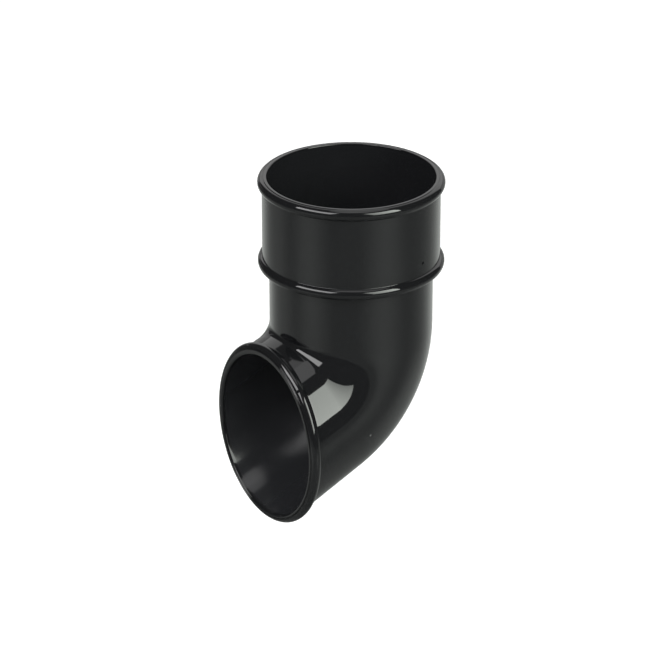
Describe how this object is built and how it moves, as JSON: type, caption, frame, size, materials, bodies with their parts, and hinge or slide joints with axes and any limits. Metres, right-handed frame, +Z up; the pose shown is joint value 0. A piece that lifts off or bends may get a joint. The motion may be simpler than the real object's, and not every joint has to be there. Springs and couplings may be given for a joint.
{
  "type": "downpipe shoe",
  "caption": "Round black plastic downpipe shoe: a beaded socket over a short body that bends forward into a sloping outlet with an upright oval mouth.",
  "frame": {"origin": "on the socket's axis, at the stop where the pipe's end rests", "axes": "+Z up along the socket, out of its mouth; the outlet throws forward to -Y; +X is level across the shoe, whose two halves mirror each other in the plane x = 0"},
  "size_m": [0.0762, 0.0814, 0.143],
  "materials": {
    "black_pvc": "moulded gloss, black through and through"
  },
  "bodies": {
    "root": {"downpipe_shoe": "black_pvc"}
  },
  "joints": []
}
